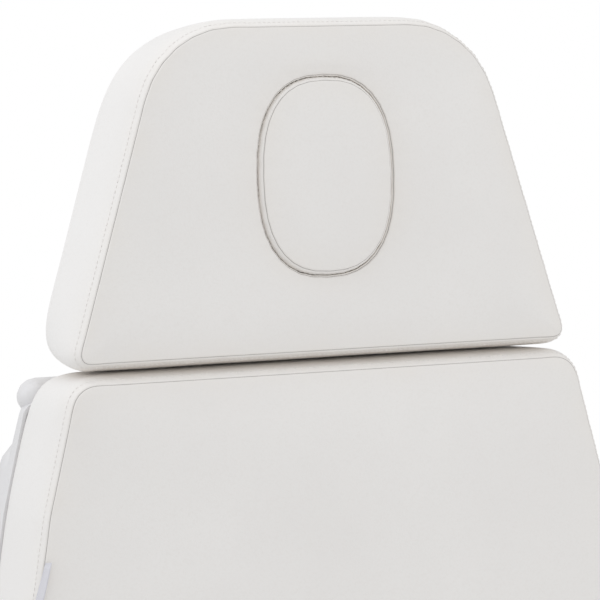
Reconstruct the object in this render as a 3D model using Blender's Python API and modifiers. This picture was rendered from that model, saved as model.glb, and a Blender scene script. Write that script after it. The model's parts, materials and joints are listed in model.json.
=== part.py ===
"""Facial treatment bed with an electric lifting column, in the chair position.

Units are metres, +Z is up. The foot end faces -Y and the head end +Y. Each section (backrest,
headrest, legrest) is modelled lying flat, in the frame of an empty on its hinge axis, and the
empty's rotation brings it to its rest position.
"""
from math import atan2, copysign, cos, hypot, pi, radians, sin, sqrt, tan

import bmesh
import bpy
from mathutils import Matrix, Vector

# Driving dimensions -------------------------------------------------------------------------
BED_HALF_WIDTH = 0.320
SEAT_TOP = 0.640
SEAT_LENGTH = 0.460
BACK_LENGTH = 0.7415
HEAD_LENGTH = 0.3137
LEG_LENGTH = 0.480
CUSHION = 0.100
BOARD = 0.012
TUBE = 0.025
GAP = 0.0004
ORIGIN_SHIFT_Y = -0.03355

BACK_REST = radians(87)
LEG_REST = radians(78)

# Upholstery outlines
BACK_TOP_HALF = 0.2613
BACK_FLARE = 0.1995
BACK_SWEEP = 1.170
BACK_CORNER = 0.021
HEAD_BOTTOM_HALF = 0.262
HEAD_TOP_HALF = 0.165
HEAD_CORNERS = (0.015, 0.0984)
HEAD_GAP = 0.005
HEAD_SET_BACK = 0.006
BOARD_INSET = 0.020
EDGE_ROUND = 0.010
BOTTOM_CORNER = 0.030
TAG_TOP = 0.592
TAG_LENGTH = 0.047
TAG_WIDTH = 0.008
TAG_INSET = 0.0075
PLUG_HALF = (0.068, 0.0905)
PLUG_CENTRE = 0.171
PLUG_CLEARANCE = 0.002
OVAL_POWER = 2.5

# Hinges, as (y, z) in the bed's frame or in the parent section's frame
BACK_PIVOT = (SEAT_LENGTH / 2 + 0.004, SEAT_TOP - 0.005)
BACK_START = 0.012
LEG_PIVOT = (-SEAT_LENGTH / 2 - 0.013, SEAT_TOP - CUSHION - BOARD - TUBE / 2)
LEG_START = 0.007
HEAD_PIVOT = (BACK_START + BACK_LENGTH + HEAD_GAP / 2, -0.126)
ARM_PIVOT = (0.150, 0.770)

# Actuators: base pivot and rod pin from the section's hinge, with the section at rest, then the
# turn of the housing (rad per rad) and the travel of the rod (m per rad) as the section moves
BACK_DRIVE = {"base": (-0.169, -0.412), "pin": (0.163, 0.088), "turn": 0.183, "travel": 0.1455,
              "rest": BACK_REST}
LEG_DRIVE = {"base": (0.337, -0.042), "pin": (0.031, -0.037), "turn": -0.0205, "travel": -0.0441,
             "rest": LEG_REST}
DRIVE_X = 0.160
BACK_TUBE_X = 0.119
PIN_RADIUS = 0.006
PIN_CLEARANCE = 0.0012
CHEEK = 0.005
CHEEK_INSIDE = 0.019

# Base and lifting column
BASE_RAIL_X = 0.200
BASE_FRONT = -0.270
BASE_REAR = 0.500
BASE_RAIL_Z = (0.030, 0.055)
COLUMN_HALF = (0.070, 0.060)
SHROUD_HALF = (0.115, 0.145)
SHROUD_WALL = 0.004
SHROUD_STEP = 0.007
HEAD_PLATE_Z = 0.410

SIDE_PLATE_BACK = (0.326, 0.331)
SIDE_PLATE_SEAT = (0.332, 0.337)
ARM_POST = (0.345, 0.351)
ARM_BAR = (0.352, 0.358)
POST_X = 0.080
POST_HALF = 0.008
CONTROL_X = 0.330
ROCKER_TILT = radians(8)
ROUND = 20


# Finishes, as (colour, roughness, metallic)
VINYL = ((0.86, 0.85, 0.83), 0.42, 0.0)
SHELL_PLASTIC = ((0.78, 0.78, 0.79), 0.35, 0.0)
LIGHT_PLASTIC = ((0.74, 0.75, 0.76), 0.45, 0.0)
DARK_PLASTIC = ((0.10, 0.10, 0.11), 0.50, 0.0)
POWDER_COAT = ((0.80, 0.80, 0.80), 0.40, 0.0)
BRIGHT_STEEL = ((0.72, 0.72, 0.74), 0.22, 1.0)
RUBBER = ((0.03, 0.03, 0.03), 0.80, 0.0)
PLYWOOD = ((0.62, 0.47, 0.30), 0.70, 0.0)
TAG_FABRIC = ((0.80, 0.80, 0.88), 0.70, 0.0)


# Scene and small helpers --------------------------------------------------------------------
def clear_scene():
    for obj in list(bpy.data.objects):
        bpy.data.objects.remove(obj)


def make_material(name, finish):
    colour, roughness, metallic = finish
    material = bpy.data.materials.new(name)
    material.use_nodes = True
    shader = material.node_tree.nodes["Principled BSDF"]
    shader.inputs["Base Color"].default_value = (*colour, 1)
    shader.inputs["Roughness"].default_value = roughness
    shader.inputs["Metallic"].default_value = metallic
    return material


def make_empty(name, parent=None, location=(0, 0, 0), turn_x=0.0):
    empty = bpy.data.objects.new(name, None)
    bed.objects.link(empty)
    empty.parent = parent
    empty.location = location
    empty.rotation_euler = (turn_x, 0, 0)
    return empty


def add(name, mesh, finish, parent, smooth=True):
    obj = bpy.data.objects.new(name, mesh)
    bed.objects.link(obj)
    obj.parent = parent
    mesh.materials.clear()
    mesh.materials.append(make_material(name, finish))
    if smooth:
        mesh.shade_smooth()
        mesh.set_sharp_from_angle(angle=radians(35))
    return obj


def mesh_from(bm, name="shape"):
    mesh = bpy.data.meshes.new(name)
    bm.to_mesh(mesh)
    bm.free()
    return mesh


def box(low, high):
    """A box between two corners."""
    bm = bmesh.new()
    bmesh.ops.create_cube(bm, size=1)
    low, high = Vector(low), Vector(high)
    bmesh.ops.scale(bm, vec=high - low, verts=bm.verts)
    bmesh.ops.translate(bm, vec=(low + high) / 2, verts=bm.verts)
    return mesh_from(bm)


def along(axis):
    """The rotation that carries +Z to the named axis."""
    return {"x": Matrix.Rotation(pi / 2, 4, "Y"), "y": Matrix.Rotation(-pi / 2, 4, "X"),
            "z": Matrix.Identity(4)}[axis]


def cylinder(radius, start, length, axis="x", segments=ROUND):
    """A cylinder from the middle of its first face, along an axis."""
    bm = bmesh.new()
    bmesh.ops.create_cone(bm, cap_ends=True, segments=segments, radius1=radius, radius2=radius,
                          depth=length)
    bmesh.ops.translate(bm, vec=(0, 0, length / 2), verts=bm.verts)
    bmesh.ops.transform(bm, matrix=Matrix.Translation(start) @ along(axis), verts=bm.verts)
    return mesh_from(bm)


def evaluated_mesh(obj):
    bpy.context.view_layer.update()
    graph = bpy.context.evaluated_depsgraph_get()
    return bpy.data.meshes.new_from_object(obj.evaluated_get(graph))


def scratch(mesh):
    """A hidden object that carries a mesh through a modifier."""
    obj = bpy.data.objects.new("scratch", mesh)
    cutters.objects.link(obj)
    obj.hide_render = True
    obj.display_type = "WIRE"
    return obj


def with_modifiers(mesh, *settings):
    """The mesh after the given modifiers, each as (type, {property: value})."""
    obj = scratch(mesh)
    for kind, values in settings:
        modifier = obj.modifiers.new(kind.title(), kind)
        for key, value in values.items():
            setattr(modifier, key, value)
    made = evaluated_mesh(obj)
    bpy.data.objects.remove(obj)
    return made


def boolean(first, others, operation):
    tools = [scratch(mesh) for mesh in others]
    made = with_modifiers(first, *[("BOOLEAN", {"operation": operation, "object": tool})
                                   for tool in tools])
    for tool in tools:
        bpy.data.objects.remove(tool)
    return made


def union(first, *others):
    return boolean(first, others, "UNION")


def cut(first, *others):
    return boolean(first, others, "DIFFERENCE")


def plate(outlines, low, high, plane="xy"):
    """A flat plate from closed outlines (the first is the edge, the rest are holes)."""
    curve = bpy.data.curves.new("outline", "CURVE")
    curve.dimensions = "2D"
    curve.fill_mode = "BOTH"
    curve.extrude = (high - low) / 2
    for outline in outlines:
        spline = curve.splines.new("POLY")
        spline.points.add(len(outline) - 1)
        for point, (a, b) in zip(spline.points, outline):
            point.co = (a, b, 0, 1)
        spline.use_cyclic_u = True
    obj = bpy.data.objects.new("outline", curve)
    cutters.objects.link(obj)
    mesh = evaluated_mesh(obj)
    bpy.data.objects.remove(obj)
    bm = bmesh.new()
    bm.from_mesh(mesh)
    bmesh.ops.remove_doubles(bm, verts=bm.verts, dist=1e-6)
    bmesh.ops.translate(bm, vec=(0, 0, (low + high) / 2), verts=bm.verts)
    if plane == "yz":
        turn = Matrix(((0, 0, 1, 0), (1, 0, 0, 0), (0, 1, 0, 0), (0, 0, 0, 1)))
        bmesh.ops.transform(bm, matrix=turn, verts=bm.verts)
    bmesh.ops.recalc_face_normals(bm, faces=bm.faces)
    return mesh_from(bm)


def bevelled(mesh, width, segments=2, angle=40):
    return with_modifiers(mesh, ("BEVEL", {"width": width, "segments": segments,
                                           "limit_method": "ANGLE", "angle_limit": radians(angle)}))


def turned(profile, axis="z", origin=(0, 0, 0), segments=ROUND):
    """A turned solid. The profile lists (radius, height) from the top down its outer side."""
    mesh = bpy.data.meshes.new("profile")
    mesh.from_pydata([(r, 0, h) for r, h in profile],
                     [(i, i + 1) for i in range(len(profile) - 1)], [])
    made = with_modifiers(mesh, ("SCREW", {"steps": segments, "render_steps": segments,
                                           "use_merge_vertices": True, "merge_threshold": 1e-5}))
    made.transform(Matrix.Translation(origin) @ along(axis))
    return made


def arc(centre, radius, start, end, count):
    return [(centre[0] + radius * cos(start + (end - start) * i / count),
             centre[1] + radius * sin(start + (end - start) * i / count))
            for i in range(count + 1)]


def rounded(corners, segments=5):
    """A polyline with its corners, given as (x, y, radius), replaced by arcs."""
    points = []
    for i, (x, y, radius) in enumerate(corners):
        here = Vector((x, y))
        before = (Vector(corners[i - 1][:2]) - here).normalized()
        after = (Vector(corners[(i + 1) % len(corners)][:2]) - here).normalized()
        half = before.angle(after) / 2
        centre = here + (before + after).normalized() * radius / sin(half)
        reach = radius / (sin(half) / cos(half))
        first = here + before * reach - centre
        last = here + after * reach - centre
        start = atan2(first.y, first.x)
        sweep = (atan2(last.y, last.x) - start + pi) % (2 * pi) - pi
        points += arc(centre, radius, start, start + sweep, segments)
    return points


def mirrored(right_side):
    """A closed outline, counter-clockwise, from its right half, given from the bottom up."""
    return right_side + [(-x, y, r) for x, y, r in reversed(right_side)]


def oval(half_x, half_y, centre_y, count=36):
    """A superellipse: flatter on its sides than an ellipse."""
    points = []
    for i in range(count):
        angle = 2 * pi * i / count
        c, s = cos(angle), sin(angle)
        points.append((half_x * copysign(abs(c) ** (2 / OVAL_POWER), c),
                       centre_y + half_y * copysign(abs(s) ** (2 / OVAL_POWER), s)))
    return points


def turned_by(point, angle):
    y, z = point
    return (y * cos(angle) - z * sin(angle), y * sin(angle) + z * cos(angle))


def loft(rows, closed=True, panel=False):
    """A sheet through rows of equal length. A panel closes the last row across its middle."""
    bm = bmesh.new()
    made = [[bm.verts.new(point) for point in row] for row in rows]
    count = len(rows[0])
    for lower, upper in zip(made, made[1:]):
        for i in range(count if closed else count - 1):
            j = (i + 1) % count
            bm.faces.new((lower[i], lower[j], upper[j], upper[i]))
    if panel:
        last = made[-1]
        for i in range(count // 2 - 1):
            bm.faces.new((last[i], last[i + 1], last[count - 2 - i], last[count - 1 - i]))
    bmesh.ops.recalc_face_normals(bm, faces=bm.faces)
    return mesh_from(bm)


def shell_of(sheet, wall, offset=-1):
    return with_modifiers(sheet, ("SOLIDIFY", {"thickness": wall, "offset": offset,
                                               "use_even_offset": True}))


def ring(half_x, half_y, radius, z, centre_y=0.0, segments=4):
    corners = [(half_x, centre_y - half_y, radius), (half_x, centre_y + half_y, radius),
               (-half_x, centre_y + half_y, radius), (-half_x, centre_y - half_y, radius)]
    return [(x, y, z) for x, y in rounded(corners, segments)]


# Outlines of the padded sections, each lying flat in its own frame ---------------------------
def back_half_width(y):
    """Half the backrest's width at a height: straight, then a wide sweep into a taper."""
    taper = atan2(BED_HALF_WIDTH - BACK_TOP_HALF, BACK_FLARE)
    bend = BACK_START + BACK_LENGTH - BACK_FLARE
    sweep_start = bend - BACK_SWEEP * tan(taper / 2)
    sweep_end = sweep_start + BACK_SWEEP * sin(taper)
    if y < sweep_start:
        return BED_HALF_WIDTH
    if y < sweep_end:
        return BED_HALF_WIDTH - BACK_SWEEP + sqrt(BACK_SWEEP ** 2 - (y - sweep_start) ** 2)
    return BED_HALF_WIDTH - (y - bend) * tan(taper)


def back_side(inset, bottom, top, corner, stations=7, corner_steps=5):
    """The right side of the backrest's outline, from the bottom up and round the top corner."""
    points = []
    for i in range(stations):
        y = bottom + (top - corner - bottom) * i / stations
        points.append((back_half_width(y) - inset, y))
    for i in range(corner_steps + 1):
        angle = pi / 2 * i / corner_steps
        y = top - corner * (1 - sin(angle))
        points.append((back_half_width(y) - inset - corner * (1 - cos(angle)), y))
    return points


def back_outline(inset=0.0, top=BACK_START + BACK_LENGTH):
    """The backrest's closed outline, with a rounded bottom corner."""
    bottom = BACK_START + inset
    side = back_side(inset, bottom + BOTTOM_CORNER, top - inset, BACK_CORNER)
    centre = (BED_HALF_WIDTH - inset - BOTTOM_CORNER, bottom + BOTTOM_CORNER)
    right = arc(centre, BOTTOM_CORNER, -pi / 2, 0, 4)[:-1] + side
    return right + [(-x, y) for x, y in reversed(right)]


def head_outline(inset=0.0):
    start = HEAD_GAP / 2
    bottom_corner, top_corner = HEAD_CORNERS
    return rounded(mirrored([(HEAD_BOTTOM_HALF - inset * 1.1, start + inset, bottom_corner),
                             (HEAD_TOP_HALF - inset, start + HEAD_LENGTH - inset,
                              top_corner - inset)]), 6)


def leg_outline(inset=0.0):
    return rounded(mirrored([(BED_HALF_WIDTH - inset, LEG_START - LEG_LENGTH + inset,
                              0.100 - inset),
                             (BED_HALF_WIDTH - inset, LEG_START - inset, 0.030)]), 5)


def seat_outline(inset=0.0):
    half = SEAT_LENGTH / 2 - inset
    return rounded(mirrored([(BED_HALF_WIDTH - inset, -half, 0.030),
                             (BED_HALF_WIDTH - inset, half, 0.030)]), 4)


def cushion(outlines, top):
    """A plain padded block with rounded edges, its face at the given height."""
    return bevelled(plate(outlines, top - CUSHION, top), EDGE_ROUND, 2, 60)


def padded_section(prefix, cushion_outlines, board_outlines, top, parent):
    """The cushion and the plywood board it is stapled to."""
    underside = top - CUSHION
    add(prefix + "_cushion", cushion(cushion_outlines, top), VINYL, parent)
    add(prefix + "_board", plate(board_outlines, underside - BOARD + GAP, underside - GAP),
        PLYWOOD, parent, False)


# Base ---------------------------------------------------------------------------------------
def build_base():
    low, high = BASE_RAIL_Z
    rails = [box((side * BASE_RAIL_X - 0.020, BASE_FRONT, low),
                 (side * BASE_RAIL_X + 0.020, BASE_REAR, high)) for side in (1, -1)]
    cross = [box((-BASE_RAIL_X, y - 0.020, low + 0.0005), (BASE_RAIL_X, y + 0.020, high - 0.0005))
             for y in (BASE_FRONT + 0.035, -0.120, 0.120, BASE_REAR - 0.035)]
    floor_plate = box((-0.19, -0.150, high - 0.008), (0.19, 0.320, high - 0.001))
    frame = union(rails[0], rails[1], *cross, floor_plate)
    feet = [(side * BASE_RAIL_X, y) for y in (BASE_FRONT + 0.020, BASE_REAR - 0.020)
            for side in (-1, 1)]
    holes = [cylinder(0.0055, (x, y, low - 0.01), 0.030, "z", 16) for x, y in feet]
    add("base_frame", cut(frame, *holes), POWDER_COAT, root)
    names = ("front_left", "front_right", "rear_left", "rear_right")
    profile = [(0, 0.045), (0.005, 0.045), (0.005, 0.022), (0.012, 0.020), (0.024, 0.010),
               (0.025, 0), (0, 0)]
    for name, (x, y) in zip(names, feet):
        add("levelling_foot_" + name, turned(profile, origin=(x, y, 0), segments=16), RUBBER, root)

    middle = (BASE_FRONT + BASE_REAR) / 2
    half_y = (BASE_REAR - BASE_FRONT) / 2 + 0.015
    opening = 0.0015
    rings = [ring(0.270, half_y, 0.070, 0.014, middle, 4),
             ring(0.264, half_y - 0.006, 0.065, 0.080, middle, 4),
             ring(0.256, half_y - 0.014, 0.058, 0.102, middle, 4),
             ring(0.240, half_y - 0.030, 0.044, 0.114, middle, 4),
             ring(0.225, half_y - 0.045, 0.034, 0.118, middle, 4),
             ring(SHROUD_HALF[0] + opening, SHROUD_HALF[1] + opening, 0.026, 0.119, 0, 4)]
    add("base_cover", shell_of(loft(rings), SHROUD_WALL), SHELL_PLASTIC, root)

    column = shell_of(loft([ring(*COLUMN_HALF, 0.012, z) for z in (high + GAP, 0.390)]), 0.005)
    add("column_outer", column, POWDER_COAT, root)
    motor = union(cylinder(0.026, (0, 0.200, 0.083), 0.110, "y"),
                  box((-0.034, 0.150, high + GAP), (0.034, 0.210, 0.112)))
    add("lift_motor", motor, DARK_PLASTIC, root)
    shroud(0, "shroud_lower", high + GAP, 0.360, root)


def shroud(step, name, low, high, parent):
    """One box of the telescopic column cover; each step is smaller than the one outside it."""
    inset = step * SHROUD_STEP
    rings = [ring(SHROUD_HALF[0] - inset, SHROUD_HALF[1] - inset, 0.026 - inset, z, 0, 4)
             for z in (low, high)]
    add(name, shell_of(loft(rings), SHROUD_WALL), SHELL_PLASTIC, parent)


def build_power_inlet():
    """Mains inlet on the back of the base cover, with its rocker switch."""
    face = BASE_REAR + 0.0275
    housing = box((0.090, face - 0.0120, 0.040), (0.150, face, 0.076))
    pocket = box((0.125, face - 0.0070, 0.048), (0.139, face + 0.01, 0.068))
    socket = box((0.097, face - 0.0080, 0.048), (0.119, face + 0.01, 0.066))
    add("power_inlet", cut(bevelled(housing, 0.002, 2), pocket, socket), DARK_PLASTIC, root)
    rocker_pivot = make_empty("power_switch_pivot", root, (0.132, face - 0.0010, 0.058),
                              -ROCKER_TILT)
    outline = [(-0.0035, -0.0085), (0.0022, -0.0090), (0.0012, 0), (0.0022, 0.0090),
               (-0.0035, 0.0085)]
    add("power_switch", plate([outline], -0.0062, 0.0062, "yz"), RUBBER, rocker_pivot, False)


# Lift: seat frame and seat --------------------------------------------------------------------
def strip(start, end, half_width):
    """The outline of a flat bar between two points, with a round end at the start."""
    direction = atan2(end[1] - start[1], end[0] - start[0])
    points = arc(start, half_width, direction + pi / 2, direction + 3 * pi / 2, 6)
    across = (-sin(direction) * half_width, cos(direction) * half_width)
    return points + [(end[0] - across[0], end[1] - across[1]),
                     (end[0] + across[0], end[1] + across[1])]


def hole(centre, radius, count=12):
    return arc(centre, radius, 0, 2 * pi * (1 - 1 / count), count - 1)


def cheeks(outlines, x):
    """Two plates either side of x, in the side plane."""
    return [plate(outlines, x + side * CHEEK_INSIDE + min(side, 0) * CHEEK,
                  x + side * CHEEK_INSIDE + max(side, 0) * CHEEK, "yz") for side in (1, -1)]


def side_plates(outlines, span):
    return [plate(outlines, *sorted((side * span[0], side * span[1])), "yz") for side in (1, -1)]


def build_seat():
    under_board = SEAT_TOP - CUSHION - BOARD
    high, low = under_board - GAP, under_board - TUBE
    thin = 0.0005
    rails = [box((side * 0.2 - TUBE / 2, -SEAT_LENGTH / 2 + 0.005, low),
                 (side * 0.2 + TUBE / 2, SEAT_LENGTH / 2 - 0.005, high)) for side in (1, -1)]
    reach = {-0.2125: 0.2165, -0.070: 0.205, 0.070: 0.205, ARM_PIVOT[0]: ARM_POST[1] - 0.002,
             0.2125: SIDE_PLATE_SEAT[1] - 0.002}
    cross = [box((-half, y - TUBE / 2 + thin, low + thin), (half, y + TUBE / 2 - thin, high - thin))
             for y, half in reach.items()]
    back_pivot = BACK_PIVOT
    hinge = [(0.2030, low + 0.003), (0.2225, low + 0.003), (0.2560, back_pivot[1] - 0.008)]
    hinge += arc(back_pivot, 0.022, 0.0, pi, 7) + [(0.2090, back_pivot[1] - 0.030)]
    pin_hole = PIN_RADIUS + 0.0003
    hinge_plates = side_plates([hinge, hole(back_pivot, pin_hole)], SIDE_PLATE_SEAT)
    post_foot = (ARM_PIVOT[0], low - 0.002)
    posts = side_plates([strip(ARM_PIVOT, post_foot, 0.017), hole(ARM_PIVOT, pin_hole)], ARM_POST)
    leg_lug = strip(LEG_PIVOT, (-0.205, LEG_PIVOT[1]), 0.0100)
    lugs = side_plates([leg_lug, hole(LEG_PIVOT, pin_hole)], (0.2130, 0.2185))
    risers = [box((side * 0.070 - 0.015, -0.100, HEAD_PLATE_Z + 0.003),
                  (side * 0.070 + 0.015, 0.100, high - 0.001)) for side in (1, -1)]
    head_plate = box((-0.101, -0.131, HEAD_PLATE_Z), (0.101, 0.131, HEAD_PLATE_Z + 0.006))
    back_base = (BACK_PIVOT[0] + BACK_DRIVE["base"][0], BACK_PIVOT[1] + BACK_DRIVE["base"][1])
    leg_base = (LEG_PIVOT[0] + LEG_DRIVE["base"][0], LEG_PIVOT[1] + LEG_DRIVE["base"][1])
    hanger = cheeks([strip(back_base, (-0.070, high - 0.010), 0.018), hole(back_base, pin_hole)],
                    -DRIVE_X)
    ear = cheeks([strip(leg_base, (leg_base[0] - 0.010, high - 0.006), 0.014),
                  hole(leg_base, pin_hole)], DRIVE_X)
    ear_rail = box((DRIVE_X - 0.028, 0.065, low + 0.002), (DRIVE_X + 0.030, 0.110, high - 0.002))
    holder = [box((0.205, -0.125, low + 0.006), (CONTROL_X - 0.0025, -0.095, low + 0.010)),
              box((CONTROL_X - 0.0040, -0.128, 0.440), (CONTROL_X - 0.0007, -0.092, low + 0.012))]
    add("seat_frame", union(rails[0], rails[1], *cross, *hinge_plates, *posts, *lugs, *risers,
                            head_plate, *hanger, ear_rail, *ear, *holder), POWDER_COAT, lift)
    padded_section("seat", [seat_outline()], [seat_outline(BOARD_INSET)], SEAT_TOP, lift)
    inner = shell_of(loft([ring(COLUMN_HALF[0] - 0.008, COLUMN_HALF[1] - 0.008, 0.008, z)
                           for z in (0.060, HEAD_PLATE_Z - GAP)]), 0.005)
    add("column_inner", inner, BRIGHT_STEEL, lift)
    shroud(2, "shroud_upper", 0.151, HEAD_PLATE_Z - GAP, lift)
    shroud(1, "shroud_middle", 0.135, 0.378, shroud_middle)
    box_mesh = bevelled(box((-0.085, -0.195, low - 0.050), (0.085, -0.115, low - GAP)), 0.006, 2)
    add("control_box", box_mesh, DARK_PLASTIC, lift)

    for side, name in ((-1, "left"), (1, "right")):
        hinge_pin = turned([(0, 0.012), (0.010, 0.012), (0.017, 0.010), (0.019, 0.005),
                            (0.019, 0.0005), (PIN_RADIUS, 0.0005), (PIN_RADIUS, -0.0125), (0, -0.0125)],
                           "x", (SIDE_PLATE_SEAT[1], 0, 0), 16)
        place_side("backrest_hinge_pin_" + name, hinge_pin, side, BACK_PIVOT, BRIGHT_STEEL, lift)
        leg_pin = turned([(0, 0.004), (0.010, 0.004), (0.010, 0.0005), (PIN_RADIUS, 0.0005),
                          (PIN_RADIUS, -0.038), (0, -0.038)], "x", (0.2450, 0, 0), 12)
        place_side("legrest_hinge_pin_" + name, leg_pin, side, LEG_PIVOT, BRIGHT_STEEL, lift)
    for name, x, base in (("back", -DRIVE_X, back_base), ("leg", DRIVE_X, leg_base)):
        mesh = cylinder(PIN_RADIUS, (x - 0.030, base[0], base[1]), 0.060, "x", 16)
        add(name + "_actuator_base_pin", mesh, BRIGHT_STEEL, lift)


def place_side(name, mesh, side, pivot, finish, parent):
    """A piece made for the right side, at a hinge, or its mirror image for the left side."""
    if side < 0:
        mesh.transform(Matrix.Scale(-1, 4, (1, 0, 0)))
        mesh.flip_normals()
    mesh.transform(Matrix.Translation((0, pivot[0], pivot[1])))
    return add(name, mesh, finish, parent)


def build_armrest(side, name):
    """A padded arm on a flat steel bar, which turns up about a pin in its post."""
    pivot = make_empty("armrest_pivot_" + name, lift, (0, *ARM_PIVOT))
    pin_hole = PIN_RADIUS + 0.0003
    bar = plate([strip((0, 0), (-0.330, 0.004), 0.0125), hole((0, 0), pin_hole)], *ARM_BAR, "yz")
    flange = box((ARM_BAR[0] + 0.0005, -0.340, 0.0128), (0.402, 0.020, 0.0180))
    bracket = union(bar, flange)
    place_side("armrest_bracket_" + name, bracket, side, (0, 0), POWDER_COAT, pivot)
    outline = rounded([(0.418, -0.370, 0.040), (0.418, 0.036, 0.036), (0.331, 0.036, 0.030),
                       (0.331, -0.370, 0.040)], 4)
    pad = bevelled(plate([outline], 0.0184, 0.0650), 0.012, 2, 60)
    place_side("armrest_pad_" + name, pad, side, (0, 0), VINYL, pivot)
    pin = turned([(0, 0.011), (0.0095, 0.011), (0.0120, 0.008), (0.0120, 0.0010), (PIN_RADIUS, 0.0010),
                  (PIN_RADIUS, -0.0145), (0, -0.0145)], "x", (ARM_BAR[1], 0, 0), 12)
    place_side("armrest_pin_" + name, pin, side, ARM_PIVOT, DARK_PLASTIC, lift)


# Actuators ----------------------------------------------------------------------------------
def drive_state(drive, moved=0.0):
    """Length and direction of an actuator when its section has turned by moved from rest."""
    y = drive["pin"][0] - drive["base"][0]
    z = drive["pin"][1] - drive["base"][1]
    return hypot(y, z) + drive["travel"] * moved, atan2(z, y) + drive["turn"] * moved


def slot_path(drive, steps=14):
    """Where the rod's pin lies on the section's lever, from rest to flat, in the flat section."""
    path = []
    for i in range(steps + 1):
        moved = -drive["rest"] * i / steps
        length, angle = drive_state(drive, moved)
        pin = (drive["base"][0] + length * cos(angle), drive["base"][1] + length * sin(angle))
        path.append(turned_by(pin, -(drive["rest"] + moved)))
    return path


def lever(drive, weld):
    """Outlines of a lever cheek: the edge runs from the weld points round the pin's window."""
    path = slot_path(drive)
    around = [p for centre in path for p in hole(centre, 0.017, 12) if p[1] < centre[1] + 0.005]
    window = [p for centre in path for p in hole(centre, PIN_RADIUS + PIN_CLEARANCE, 12)]
    return [convex(around + weld), convex(window)]


def convex(points):
    """The convex outline of a set of points, counter-clockwise."""
    points = sorted(set(points))

    def half(seq):
        chain = []
        for p in seq:
            while len(chain) > 1 and ((chain[-1][0] - chain[-2][0]) * (p[1] - chain[-2][1])
                                      <= (chain[-1][1] - chain[-2][1]) * (p[0] - chain[-2][0])):
                chain.pop()
            chain.append(p)
        return chain[:-1]

    return half(points) + half(points[::-1])


def build_actuator(name, drive, x, pivot, motor_side, tube_end, rod_start, bore_start):
    """Housing, motor and outer tube as one casting, and the rod with its eye and pin.

    The local +Y axis runs from the base pin to the rod pin.
    """
    length, angle = drive_state(drive)
    base = (pivot[0] + drive["base"][0], pivot[1] + drive["base"][1])
    housing = make_empty(name + "_actuator_pivot", lift, (x, base[0], base[1]), angle)
    eye = cylinder(0.014, (-0.017, 0, 0), 0.034, "x", 20)
    neck = box((-0.014, 0.004, -0.011), (0.014, 0.045, 0.011))
    gearbox = bevelled(box((-0.021, 0.036, min(0, motor_side) * 0.050 - 0.020),
                           (0.021, 0.090, max(0, motor_side) * 0.050 + 0.020)), 0.005, 2)
    motor = cylinder(0.021, (0, 0.085, motor_side * 0.046), 0.085, "y")
    tube = cylinder(0.0175, (0, 0.080, 0), tube_end - 0.080, "y")
    bores = [cylinder(PIN_RADIUS + 0.0003, (-0.03, 0, 0), 0.06, "x", 16),
             cylinder(0.0106, (0, bore_start, 0), length, "y")]
    body = cut(union(eye, neck, gearbox, motor, tube), *bores)
    add(name + "_actuator_body", body, DARK_PLASTIC, housing)

    rod_carrier = make_empty(name + "_actuator_rod_origin", housing)
    rod = cylinder(0.010, (0, rod_start, 0), length - rod_start - 0.006, "y")
    rod_eye = cylinder(0.013, (-0.015, length, 0), 0.030, "x", 20)
    rod_pin = cylinder(PIN_RADIUS, (-CHEEK_INSIDE - CHEEK - 0.003, length, 0),
                       2 * (CHEEK_INSIDE + CHEEK + 0.003), "x", 16)
    add(name + "_actuator_rod", union(rod, rod_eye, rod_pin), BRIGHT_STEEL, rod_carrier)


# Backrest -----------------------------------------------------------------------------------
def build_backrest():
    top = BACK_START + BACK_LENGTH
    face = SEAT_TOP - BACK_PIVOT[1]
    board = back_outline(BOARD_INSET, top=top - 0.036)
    padded_section("backrest", [back_outline()], [board], face, backrest)
    high = face - CUSHION - BOARD - GAP
    low = high - TUBE
    thin = 0.0005
    long_tubes = [box((side * BACK_TUBE_X - TUBE / 2, 0.036, low),
                      (side * BACK_TUBE_X + TUBE / 2, 0.655, high))
                  for side in (1, -1)]
    cross = [box((-half, y - TUBE / 2 + thin, low + thin), (half, y + TUBE / 2 - thin, high - thin))
             for y, half in ((0.050, 0.130), (0.150, SIDE_PLATE_BACK[1] - thin), (0.330, 0.130),
                             (0.515, 0.130), (0.635, 0.130))]
    link = [(0.136, low + 0.001), (0.164, low + 0.001), (0.164, high - 0.002)]
    link += arc((0, 0), 0.020, radians(20), radians(200), 7)
    links = side_plates([link, hole((0, 0), PIN_RADIUS + 0.0003)], SIDE_PLATE_BACK)
    weld = [(0.060, low + 0.018), (0.160, low + 0.018), (0.160, low + 0.002)]
    levers = cheeks(lever(BACK_DRIVE, weld), -DRIVE_X)
    post_z = HEAD_PIVOT[1]
    sleeves = [box((side * POST_X - 0.0125, 0.500, post_z - 0.0120),
                   (side * POST_X + 0.0125, 0.652, post_z + 0.0120)) for side in (1, -1)]
    channel = POST_HALF + 0.0005
    channels = [box((side * POST_X - channel, 0.40, post_z - channel),
                    (side * POST_X + channel, 0.80, post_z + channel)) for side in (1, -1)]
    frame = union(long_tubes[0], long_tubes[1], *cross, *sleeves, *links, *levers)
    add("backrest_frame", cut(frame, *channels), POWDER_COAT, backrest)
    build_back_shell(face - CUSHION, top)

    left = [(TAG_INSET - back_half_width(y), y) for y in (TAG_TOP - TAG_LENGTH, TAG_TOP)]
    right = [(x + TAG_WIDTH, y) for x, y in left]
    tag = plate([[left[0], right[0], right[1], left[1]]], face + GAP, face + GAP + 0.0008)
    add("seam_tag", tag, TAG_FABRIC, backrest, False)


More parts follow.
